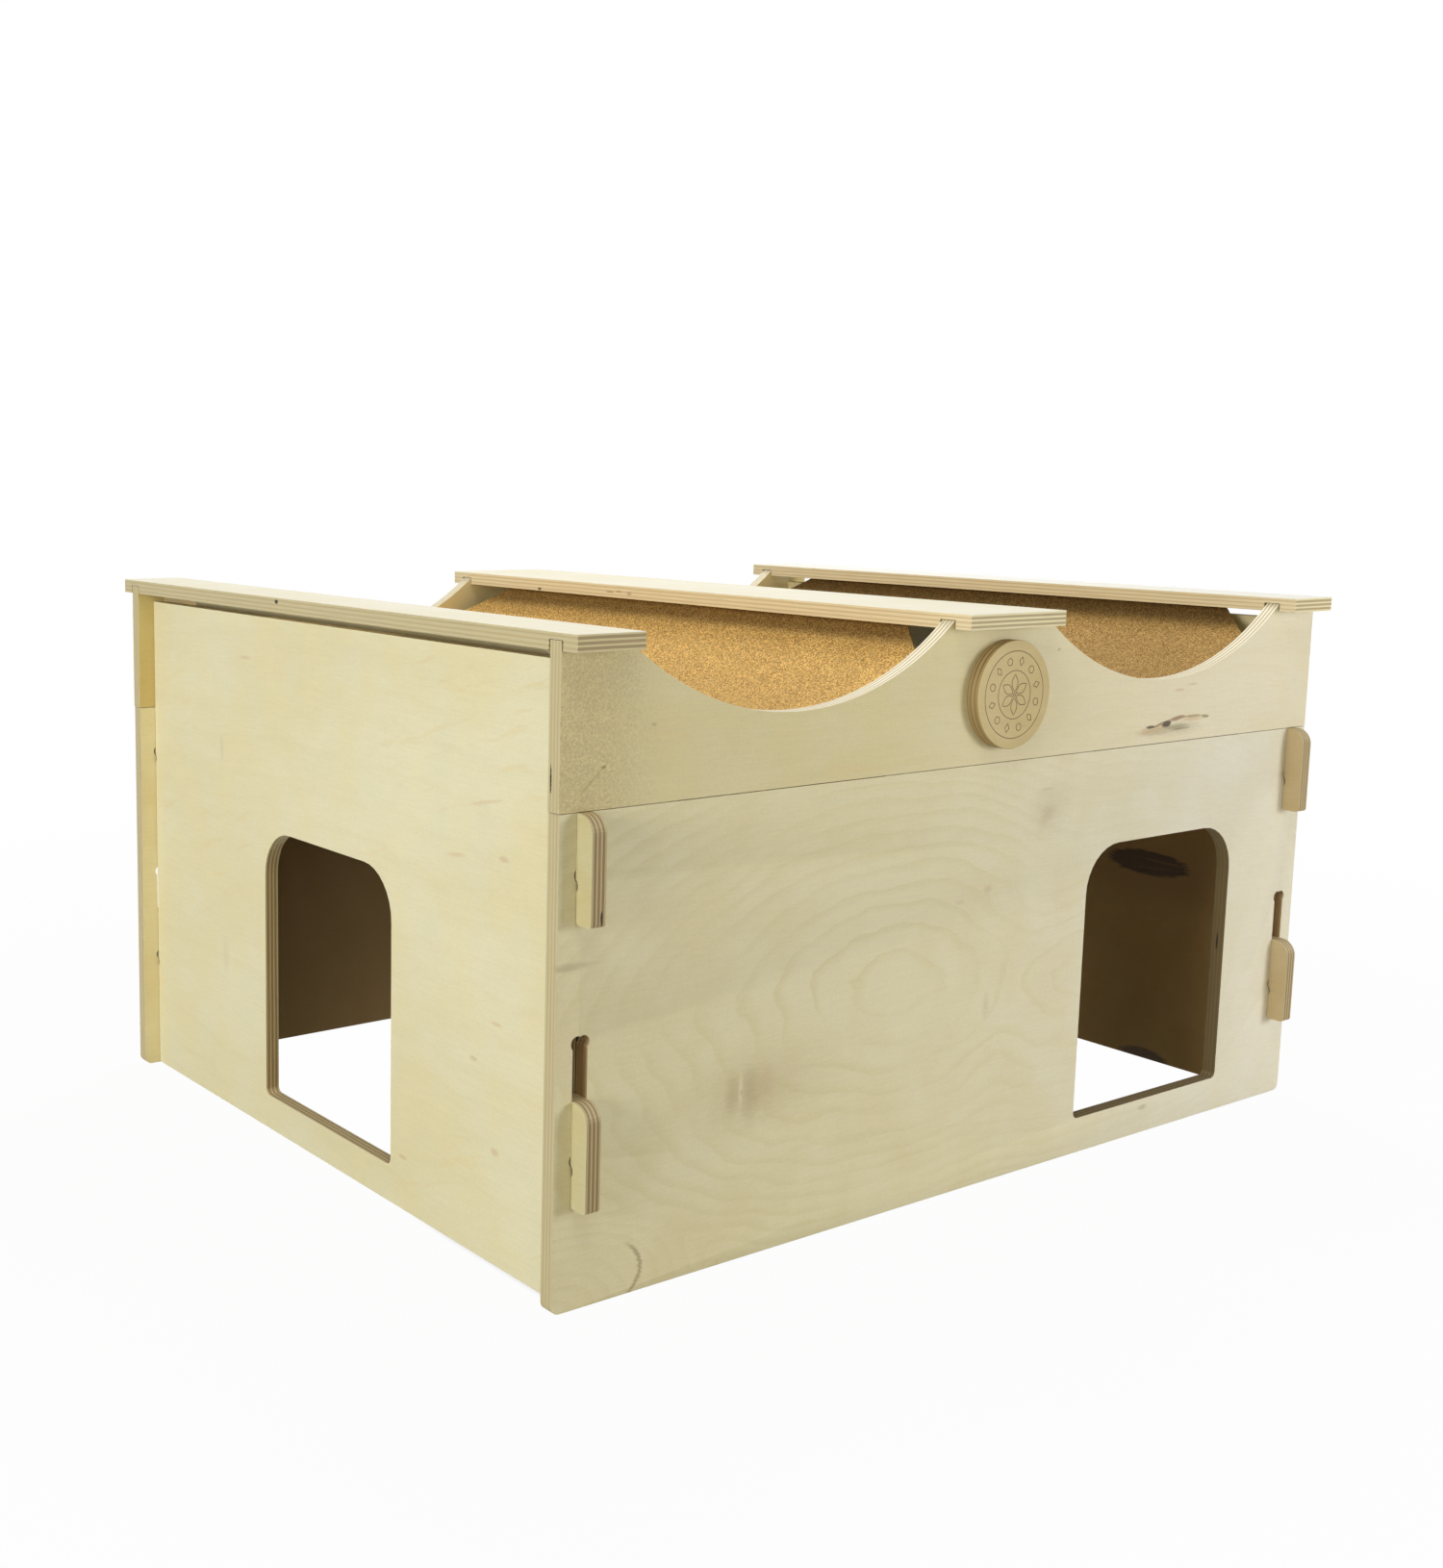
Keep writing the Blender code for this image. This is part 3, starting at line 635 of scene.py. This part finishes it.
def diamond_loop(angle, radius, half, steps=6):
    ahead, aside = ahead_and_aside(angle)
    middle = ahead * radius
    corners = [middle + ahead * half, middle + aside * half * 0.7,
               middle - ahead * half, middle - aside * half * 0.7]
    loop = []
    for index, corner in enumerate(corners):
        following = corners[(index + 1) % len(corners)]
        loop += [corner.lerp(following, step / steps) for step in range(steps)]
    return loop


def engraved_loops():
    loops = [circle_loop(Vector(), radius, RING_STEPS) for radius in RING_RADII]
    loops.append(circle_loop(Vector(), CENTRE_CIRCLE, CENTRE_STEPS))
    loops += [petal_loop(2 * math.pi * index / PETALS + math.pi / 2) for index in range(PETALS)]
    for index in range(MOTIFS):
        angle = 2 * math.pi * (index + 0.5) / MOTIFS
        if index % 2:
            loops.append(circle_loop(ahead_and_aside(angle)[0] * MOTIF_RADIUS, MOTIF_CIRCLE, MOTIF_STEPS))
        else:
            loops.append(diamond_loop(angle, MOTIF_RADIUS, MOTIF_DIAMOND))
    return loops


def turned_disc(middle, radius, front, back):
    """A disc with eased edges, its axis along Y."""
    profile = [(radius, back), (radius, front + BADGE_CHAMFER),
               (radius - BADGE_CHAMFER / 3, front + BADGE_CHAMFER / 3), (radius - BADGE_CHAMFER, front)]
    mesh = bmesh.new()
    rings = []
    for ring_radius, depth in profile:
        centre = Vector((middle.x, depth, middle.z))
        rings.append([mesh.verts.new(point) for point in circle_loop(centre, ring_radius, BADGE_STEPS)])
    for last, following in zip(rings, rings[1:]):
        for step in range(BADGE_STEPS):
            after = (step + 1) % BADGE_STEPS
            mesh.faces.new((last[step], last[after], following[after], following[step]))
    mesh.faces.new(rings[0])
    mesh.faces.new(rings[-1])
    return object_from(mesh, "badge_engraved")


def make_badge():
    """The round badge, with rings, a rosette and small motifs engraved in its face and burnt brown."""
    low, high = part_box("badge_disc")
    middle, radius = (low + high) / 2, (high.x - low.x) / 2
    badge = turned_disc(middle, radius, low.y, high.y)
    grooves = bmesh.new()
    face_middle = Vector((middle.x, low.y, middle.z))
    for loop in engraved_loops():
        closed_tube(grooves, [face_middle + point for point in loop], GROOVE_RADIUS)
    cutter = object_from(grooves, "engraving")
    cut = badge.modifiers.new("engraving", "BOOLEAN")
    cut.operation = "DIFFERENCE"
    cut.solver = "EXACT"
    cut.object = cutter
    engraved = bpy.data.meshes.new_from_object(badge.evaluated_get(bpy.context.evaluated_depsgraph_get()))
    badge.modifiers.clear()
    badge.data = engraved
    bpy.data.objects.remove(cutter)
    engraved.shade_smooth()
    engraved.set_sharp_from_angle(angle=math.radians(30.0))

    board = Board("badge_disc", Y, X, -1, 43.0)
    recipe = plywood(board, pale=BADGE_PALE, warm=BADGE_WARM, ring_depth=0.15, plies=BADGE_PLIES,
                     edge_light=[BADGE_EDGE_LIGHT] * 2, edge_dark=[BADGE_EDGE_DARK] * 2,
                     edge_up=(BADGE_EDGE_LIGHT, BADGE_EDGE_DARK))
    place, _ = recipe.rest_place()
    from_middle = recipe.length(recipe.minus(place[X], middle.x), recipe.minus(place[Z], middle.z))
    deep = recipe.ease(place[Y], low.y + BURNT_FROM, low.y + BURNT_FULLY)
    on_face = recipe.ease(from_middle, radius - UNBURNT_RIM, radius - RIM_BLEND_END)
    socket = recipe.surface.inputs["Base Color"]
    wood = socket.links[0].from_socket
    burnt = recipe.times(recipe.times(deep, on_face), BURNT_SHARE)
    recipe.put(socket, recipe.mix(burnt, wood, BURNT))
    engraved.materials.clear()
    engraved.materials.append(recipe.material)
    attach(badge, "roof")
    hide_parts("badge_disc")


def make_camera():
    yaw, pitch, roll = (math.radians(a) for a in (CAMERA_YAW, CAMERA_PITCH, CAMERA_ROLL))
    ahead = Vector((math.sin(yaw) * math.cos(pitch), math.cos(yaw) * math.cos(pitch), math.sin(pitch)))
    level_right = Vector((math.cos(yaw), -math.sin(yaw), 0.0))
    level_up = level_right.cross(ahead)
    right = math.cos(roll) * level_right + math.sin(roll) * level_up
    up = math.cos(roll) * level_up - math.sin(roll) * level_right
    data = bpy.data.cameras.new("camera")
    camera = add_object("camera", data)
    turn = Matrix((right, up, -ahead)).transposed().to_4x4()
    camera.matrix_world = Matrix.Translation(CAMERA_PLACE) @ turn
    data.sensor_width = SENSOR_WIDTH
    data.lens = FOCAL_PIXELS / IMAGE_HEIGHT * SENSOR_WIDTH
    data.shift_x = (IMAGE_WIDTH / 2 - PRINCIPAL_PIXEL[0]) / IMAGE_HEIGHT
    data.shift_y = (PRINCIPAL_PIXEL[1] - IMAGE_HEIGHT / 2) / IMAGE_HEIGHT
    data.clip_start, data.clip_end = 0.01, 100.0
    bpy.context.scene.camera = camera


def seen_directly(tree):
    """1 for rays from the camera and for those that gloss or glass send on, else 0."""
    path = tree.nodes.new("ShaderNodeLightPath")
    total = path.outputs["Is Camera Ray"]
    for name in ("Is Glossy Ray", "Is Transmission Ray"):
        node = tree.nodes.new("ShaderNodeMath")
        node.operation = "MAXIMUM"
        tree.links.new(total, node.inputs[0])
        tree.links.new(path.outputs[name], node.inputs[1])
        total = node.outputs[0]
    return total


FLOOR_HALF = 6.0
FLOOR_DROP = 0.0002
# Under the house the floor is dark, which keeps light from bouncing inside: painted shade
FLOOR_TONE, UNDER_HOUSE_PAINTED_SHADE = (0.60, 0.60, 0.60), (0.09, 0.08, 0.07)
WHITE_NEAR, WHITE_INSIDE = 0.96, 0.99
FADE_START, FADE_END = 0.45, 1.30
UNDER_HOUSE_SIDE, UNDER_HOUSE_END = (0.310, 0.295), (0.243, 0.230)
SHADE_STRIP_START, SHADE_STRIP_END = (-0.215, -0.165), (0.000, -0.085)


def make_floor():
    """A pale floor that keeps the house's shadow and fades to the white background.

    Inside the house it is white, but for a dark slanting strip of painted shade that is seen through the
    left slots. Under the house it is dark for the light that bounces off it, which is painted shade too."""
    mesh = bpy.data.meshes.new("floor")
    signs = ((-1, -1), (1, -1), (1, 1), (-1, 1))
    corners = [(a * FLOOR_HALF, b * FLOOR_HALF, -FLOOR_DROP) for a, b in signs]
    mesh.from_pydata(corners, [], [(0, 1, 2, 3)])
    floor = add_object("floor", mesh)
    recipe = Recipe("floor_white")
    place, _ = recipe.rest_place()
    recipe.tree.nodes.remove(recipe.surface)
    output = recipe.tree.nodes["Material Output"]
    inside = recipe.within(place, UNDER_HOUSE_SIDE, UNDER_HOUSE_END)
    slant = recipe.minus(place[X], place[Y])
    strip = recipe.times(recipe.ease(slant, *SHADE_STRIP_START), recipe.ease(slant, *SHADE_STRIP_END))
    matt = recipe.add("ShaderNodeBsdfDiffuse")
    recipe.put(matt.inputs["Color"], recipe.mix(inside, FLOOR_TONE, UNDER_HOUSE_PAINTED_SHADE))
    white = recipe.add("ShaderNodeEmission")
    recipe.put(white.inputs["Color"], (1.0, 1.0, 1.0))
    far = recipe.ease(recipe.length(place[X], place[Y]), FADE_START, FADE_END)
    whiteness = recipe.times_plus(far, 1.0 - WHITE_NEAR, WHITE_NEAR)
    whiteness = recipe.times_plus(inside, WHITE_INSIDE - WHITE_NEAR, whiteness)
    whiteness = recipe.times(whiteness, recipe.minus(1.0, recipe.times(inside, strip)))
    blend = recipe.add("ShaderNodeMixShader")
    recipe.put(blend.inputs[0], recipe.times(whiteness, seen_directly(recipe.tree)))
    recipe.put(blend.inputs[1], matt.outputs[0])
    recipe.put(blend.inputs[2], white.outputs[0])
    recipe.put(output.inputs["Surface"], blend.outputs[0])
    mesh.materials.append(recipe.material)


AMBIENT_TONE = (1.0, 0.98, 0.92)
AMBIENT_STRENGTH = 0.24


def make_world():
    world = bpy.data.worlds.new("studio")
    bpy.context.scene.world = world
    world.use_nodes = True
    tree = world.node_tree
    tree.nodes.clear()
    output = tree.nodes.new("ShaderNodeOutputWorld")
    fill = tree.nodes.new("ShaderNodeBackground")
    fill.inputs["Color"].default_value = (*AMBIENT_TONE, 1.0)
    fill.inputs["Strength"].default_value = AMBIENT_STRENGTH
    white = tree.nodes.new("ShaderNodeBackground")
    white.inputs["Color"].default_value = (1.0, 1.0, 1.0, 1.0)
    white.inputs["Strength"].default_value = 1.0
    blend = tree.nodes.new("ShaderNodeMixShader")
    tree.links.new(seen_directly(tree), blend.inputs[0])
    tree.links.new(fill.outputs[0], blend.inputs[1])
    tree.links.new(white.outputs[0], blend.inputs[2])
    tree.links.new(blend.outputs[0], output.inputs["Surface"])


def make_lamp(name, place, aim, size, power, colour):
    data = bpy.data.lights.new(name, "AREA")
    data.shape = "DISK"
    data.size = size
    data.energy = power
    data.color = colour
    lamp = add_object(name, data)
    lamp.location = place
    lamp.rotation_mode = "QUATERNION"
    lamp.rotation_quaternion = (Vector(aim) - Vector(place)).to_track_quat("-Z", "Y")


# Hearts of the front wall's growth rings, in rows as for marks: only place, half sizes and start count
FRONT_HEARTS = spots(Y, FRONT_FACE, (
    (-77.5, 131.0, 24.0, 11.8, 0, 0, 0.0, None),
    (99.0, 114.0, 24.0, 11.8, 0, 0, 1.2, None),
    (-317.5, 0.0, 15.0, 8.0, 0, 0, 4.6, None),
))

# Marks, in rows: two places and two half sizes in millimetres, turn, softness, strength, colour
FRONT_MARKS = spots(Y, FRONT_FACE, (
    (-180.0, 93.5, 36.0, 17.0, 0, 1.9, 0.22, SMUDGE),
    (-198.8, 93.0, 4.0, 8.5, 0, 1.8, 0.34, SMUDGE),
    (-186.0, 92.0, 5.0, 12.0, 0, 1.9, 0.36, SMUDGE),
    (-176.0, 94.5, 6.0, 9.0, 0, 1.9, 0.26, REDDISH),
    (-192.7, 94.5, 1.2, 7.5, 0, 1.4, 0.70, FACE_PALE),
    (-192.2, 93.0, 0.5, 1.6, 0, 1.2, 0.50, SMUDGE),
    (52.0, 224.0, 14.0, 11.0, 12, 1.9, 0.20, SMUDGE),
    (50.0, 220.5, 6.0, 4.0, 30, 1.8, 0.26, SMUDGE),
    (49.5, 236.0, 4.5, 0.9, 0, 1.5, 0.26, SMUDGE),
    (-25.0, 176.0, 3.4, 1.0, 0, 1.5, 0.24, REDDISH),
    (-0.8, 181.0, 3.0, 2.0, 0, 1.6, 0.30, REDDISH),
    (2.5, 110.0, 2.4, 6.0, 0, 1.8, 0.20, SMUDGE),
    (162.5, 16.7, 4.0, 1.5, 0, 1.2, 0.42, SMUDGE),
    (-311.0, 179.0, 12.0, 1.9, 0, 1.5, 0.42, SMUDGE),
))
FRONT_MARKS += [
    {**spots(Y, FRONT_FACE, [(-286.0, 13.0, 27.0, 19.0, 0, 0.09, 0.75, SMUDGE)])[0],
     "hollow": 0.035, "fray": 0.12, "after": (-0.272, -0.264)},
]
FRONT_MARKS += spots(X, DOOR_RIGHT_REVEAL, [(-238.5, 115.5, 0.7, 5.8, 0, 0.5, 1.0, VOID)])

ROOF_MARKS = spots(Y, FRONT_FACE, (
    (170.0, 264.2, 22.0, 3.2, 0, 1.6, 0.34, GREY_OLIVE),
    (150.0, 263.4, 14.0, 2.2, 0, 1.4, 0.42, SMUDGE),
    (143.0, 264.3, 5.5, 1.7, 0, 1.0, 0.45, ORANGE),
    (154.0, 265.5, 4.6, 1.5, 10, 0.9, 0.40, ORANGE),
    (174.0, 265.0, 10.5, 1.6, 0, 1.2, 0.55, GREY_OLIVE),
    (177.0, 263.5, 9.5, 0.6, 2, 1.0, 0.60, GREY_OLIVE),
    (146.2, 266.4, 4.6, 1.0, 0, 0.6, 0.90, DARK_BARK),
    (154.5, 267.5, 5.2, 0.7, 14, 0.8, 0.85, BARK_RED),
    (189.5, 269.3, 10.0, 1.3, -2, 1.2, 0.50, ORANGE),
    (173.5, 270.5, 8.6, 1.3, 8, 0.6, 0.85, BARK_RED),
    (190.0, 270.9, 10.5, 0.8, -1, 0.8, 0.80, SMUDGE),
    (203.0, 269.9, 3.8, 1.0, -4, 0.8, 0.80, OLIVE),
    (162.6, 267.7, 4.6, 2.0, 8, 0.5, 0.95, DARK_BARK),
    (173.8, 288.5, 5.0, 0.8, 0, 1.2, 0.40, REDDISH),
    (187.6, 291.5, 4.5, 0.7, 0, 1.2, 0.36, REDDISH),
    (52.5, 319.4, 1.5, 0.9, 0, 1.0, 0.50, SMUDGE),
    (-259.3, 295.8, 1.5, 0.9, 0, 1.0, 0.45, SMUDGE),
    (-290.8, 276.8, 1.3, 0.8, 20, 1.0, 0.80, OLIVE),
    (-298.8, 269.8, 11.0, 0.6, 41, 1.4, 0.34, OLIVE),
))
ROOF_MARKS += spots(X, ROOF_LEFT_END, [(-236.8, 272.0, 0.6, 7.2, 0, 0.5, 1.0, VOID)])

SIDE_MARKS = spots(X, LEFT_FACE, (
    (100.0, 301.7, 6.0, 1.0, 0, 1.3, 0.28, REDDISH),
    (-139.8, 216.7, 8.0, 1.2, -6, 1.4, 0.30, ORANGE),
    (-183.0, 221.7, 4.0, 1.4, 0, 1.2, 0.40, REDDISH),
    (-166.0, 249.0, 14.0, 0.9, -12, 1.4, 0.30, ORANGE),
    (133.5, 240.0, 2.0, 7.0, 0, 1.5, 0.16, SMUDGE),
    (130.0, 101.7, 4.0, 8.0, 0, 1.7, 0.14, REDDISH),
    (-178.0, 63.0, 3.0, 2.0, 0, 1.3, 0.34, REDDISH),
    (-178.0, 133.0, 4.0, 1.0, 0, 1.3, 0.34, ORANGE),
    (-157.5, 109.0, 3.0, 1.2, 0, 1.2, 0.32, SMUDGE),
    (-88.0, 31.7, 4.0, 1.2, 0, 1.0, 0.42, ORANGE),
))
SIDE_MARKS += spots(Y, HOOK_FRONT, [(-300.0, 204.5, 0.7, 3.5, 0, 0.5, 1.0, VOID)])

INNER_FRAY = 0.35
INNER_MARKS = spots(X, RIGHT_INNER_FACE, (
    (-155.0, 139.0, 50.0, 22.0, 0, 1.6, 0.45, BARK_RED),
    (-143.5, 145.3, 33.0, 8.8, 0, 0.25, 0.92, KNOT_DARK),
    (-158.0, 147.5, 18.0, 0.8, 2, 1.2, 0.40, BARK_RED),
    (-150.0, 142.0, 16.0, 0.6, -3, 1.2, 0.35, BARK_RED),
    (-149.0, 1.5, 19.0, 6.5, 0, 0.4, 0.92, KNOT_DARK),
))
for inner_mark in INNER_MARKS:
    inner_mark["fray"] = INNER_FRAY

LEFT_BOARD_MARKS = spots(X, ROOF_LEFT_END, [(37.8, 341.2, 2.0, 1.2, 0, 0.6, 1.0, VOID)])
MIDDLE_BOARD_MARKS = spots(X, MIDDLE_BOARD_SIDE, (
    (144.7, 336.2, 2.2, 0.9, 0, 0.6, 1.00, VOID),
    (63.0, 338.5, 4.0, 0.7, 0, 0.8, 0.60, SMUDGE),
    (53.0, 339.2, 3.5, 0.7, 0, 0.8, 0.60, SMUDGE),
    (42.0, 338.3, 2.5, 1.4, 0, 0.8, 0.50, SMUDGE),
))

# Cut edges with a tint of their own, in rows: axis, distance of their middle from zero, half size, tint
SLOT_CUTS = (X, 0.3020, 0.0056, SLOT_CHAR)
FRONT_CUTS = (SLOT_CUTS, (X, 0.16625, 0.0755, FRONT_DOOR_CHAR_AND_SHADE))
SIDE_CUTS = ((Y, 0.0, 0.0755, SIDE_DOOR_PAINTED_LIGHT),)

# Looks that several pieces share
PAINTED_INDOOR_SHADE = {"inside": (INDOOR_SHADE_PALE, INDOOR_SHADE_WARM)}
HOOKED = {
    **PAINTED_INDOOR_SHADE,
    "edge_light": (EDGE_LIGHT_SIDE, HOOK_LIGHT_END), "edge_dark": (EDGE_DARK_SIDE, HOOK_DARK_END),
    "edge_up": (HOOK_LIGHT_UP_PAINTED_LIT, HOOK_DARK_UP_PAINTED_LIT),
}
TOPS = {"pale": TOP_PALE_PAINTED_LIGHT, "warm": TOP_WARM_PAINTED_LIGHT, "ring_depth": 0.15, "roughness": 0.42}
LEFT_SIDES = {"edge_light": (EDGE_LIGHT_SIDE, LEFT_LIGHT_END), "edge_dark": (EDGE_DARK_SIDE, LEFT_DARK_END)}
FAR_SIDES = {"edge_light": (FAR_LIGHT_SIDE, FAR_LIGHT_END), "edge_dark": (FAR_DARK_SIDE, FAR_DARK_END)}

# Plywood pieces, in rows: board, radius of its arrises, looks
PANELS = (
    (Board("front_wall", Y, X, -1, 3.0), SHARP_ARRIS,
     {**PAINTED_INDOOR_SHADE, "far_end": (RIGHT_PALE, RIGHT_WARM, -0.10, 0.30), "painted_light_below": 0.45,
      "hearts": FRONT_HEARTS, "ring_depth": 0.40, "marks": FRONT_MARKS, "char_and_painted_light_tints": FRONT_CUTS}),
    (Board("back_wall", Y, X, 1, 7.0), SHARP_ARRIS,
     {"inside": (BACK_INDOOR_SHADE_PALE, BACK_INDOOR_SHADE_WARM), "inner": (STRIP_PALE, STRIP_WARM), "char_and_painted_light_tints": (SLOT_CUTS,)}),
    (Board("left_side_wall", X, Y, -1, 11.0), SHARP_ARRIS,
     {**HOOKED, "pale": SIDE_PALE, "warm": SIDE_WARM, "hook_tint": HOOK_TINT, "figure": 0.12,
      "ring_depth": 0.10, "ring_spacing": 0.021, "streaks": (-17.0, 0.30),
      "marks": SIDE_MARKS, "char_and_painted_light_tints": SIDE_CUTS}),
    (Board("right_side_wall", X, Y, 1, 17.0), SHARP_ARRIS,
     {**HOOKED, "inner": (HOOK_PALE, HOOK_WARM), "painted_light_above_trough": STRIP_PALE,
      "ring_depth": 0.25, "marks": INNER_MARKS}),
    (Board("roof_front_panel", Y, X, -1, 23.0), SHARP_ARRIS,
     {"pale": ROOF_PALE, "warm": ROOF_WARM, "far_end": (ROOF_RIGHT_PALE, ROOF_RIGHT_WARM, -0.15, 0.30),
      "figure": 0.12, "ring_depth": 0.30, "sandy": (-0.302, -0.240), "streaks": (-8.0, 0.30),
      "marks": ROOF_MARKS}),
    # Roof's back panel: painted shade on the inner face's ends, painted light over the troughs
    (Board("roof_back_panel", Y, X, 1, 29.0), SHARP_ARRIS,
     {"inner": (TAN_SHADE_PALE, TAN_SHADE_WARM), "inside": (PAINTED_LIT_TROUGH_PALE, PAINTED_LIT_TROUGH_WARM)}),
    (Board("top_board_left", Z, Y, 1, 31.0), SANDED_ARRIS,
     {**TOPS, **LEFT_SIDES, "marks": LEFT_BOARD_MARKS}),
    (Board("top_board_middle", Z, Y, 1, 37.0), SANDED_ARRIS,
     {**TOPS, **FAR_SIDES, "marks": MIDDLE_BOARD_MARKS}),
    (Board("top_board_right", Z, Y, 1, 41.0), SANDED_ARRIS,
     {**TOPS, **FAR_SIDES, "pale": RIGHT_TOP_PALE_PAINTED_LIGHT, "warm": RIGHT_TOP_WARM_PAINTED_LIGHT}),
    (BentSheet("trough_sheet_left", -TROUGH_MIDDLE, 47.0), SHARP_ARRIS, {"plies": SHEET_PLIES}),
    (BentSheet("trough_sheet_right", TROUGH_MIDDLE, 53.0), SHARP_ARRIS, {"plies": SHEET_PLIES}),
)

# Cork mats, in rows: node, seed, tint (painted shade on the right mat), top board that shades the mat
MATS = (
    ("cork_mat_left", 1.0, LEFT_CORK_TINT, "top_board_middle"),
    ("cork_mat_right", 2.0, RIGHT_CORK_PAINTED_SHADE, "top_board_right"),
)

# Lamps, in rows: name, place, aim, size, power, colour
LAMPS = (
    ("front_lamp", (0.80, -1.45, 0.40), (0.0, -0.24, 0.14), 0.60, 9.9, (0.95, 0.97, 1.10)),
    ("side_lamp", (-3.0, -0.45, 0.78), (-0.30, 0.0, 0.16), 1.5, 50.0, (1.0, 0.985, 0.94)),
    ("top_lamp", (0.60, 0.80, 2.00), (0.0, 0.0, 0.34), 0.9, 25.5, (1.0, 0.99, 0.98)),
    ("high_lamp", (-0.70, -0.90, 1.80), (0.0, 0.0, 0.34), 0.8, 5.5, (1.0, 0.99, 0.95)),
)

make_camera()
for board, arris_radius, looks in PANELS:
    dress(board.name, plywood(board, **looks).material, arris_radius)
for node_name, seed, tint, board_name in MATS:
    board_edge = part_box(board_name)[0].x
    for slot in CAD_NODES[node_name].material_slots:
        slot.material = cork(node_name, seed, tint, board_edge)
make_badge()

make_world()
make_floor()
for lamp_row in LAMPS:
    make_lamp(*lamp_row)

scene = bpy.context.scene
scene.view_settings.view_transform = "Standard"
